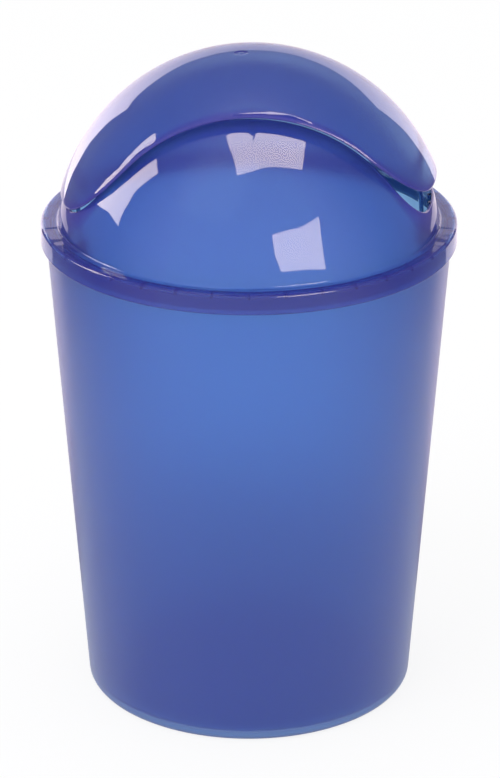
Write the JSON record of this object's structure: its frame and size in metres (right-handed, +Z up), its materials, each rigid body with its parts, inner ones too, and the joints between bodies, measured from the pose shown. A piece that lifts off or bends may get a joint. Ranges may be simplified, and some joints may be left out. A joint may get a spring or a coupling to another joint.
{
  "type": "swing-top bin",
  "caption": "Round tapered kitchen bin in translucent blue plastic, with a lift-off domed bonnet whose mouth is covered by a spherical swing flap on pivot pins.",
  "frame": {"origin": "on the floor, at the middle of the foot ring", "axes": "+Z up along the tub's axis, the front towards -Y, the pivot pins along X"},
  "size_m": [0.2454, 0.2454, 0.3988],
  "materials": {
    "frosted_blue": "moulded, frosted, translucent",
    "gloss_blue": "moulded, glossy, translucent",
    "pin_blue": "moulded"
  },
  "bodies": {
    "tub": {"body_shell": "frosted_blue"},
    "bonnet": {"bonnet": "gloss_blue"},
    "pivot_pins": {"pivot_pin_left": "pin_blue", "pivot_pin_right": "pin_blue"},
    "flap": {"flap": "gloss_blue"}
  },
  "joints": [
    {"name": "bonnet_lift", "type": "slide", "parent": "tub", "child": "bonnet", "axis": [0, 0, 1], "range_m": [0, 0.12]},
    {"name": "flap_tilt", "type": "hinge", "parent": "bonnet", "child": "pivot_pins", "pos_m": [-0.10852, 0, 0.3123], "axis": [0, -1, 0], "range_deg": [-3.2, 0]},
    {"name": "flap_swing", "type": "hinge", "parent": "pivot_pins", "child": "flap", "pos_m": [0.00188, 0, 0.28161], "axis": [0.9984, 0, 0.0558], "range_deg": [-22, 22]}
  ]
}
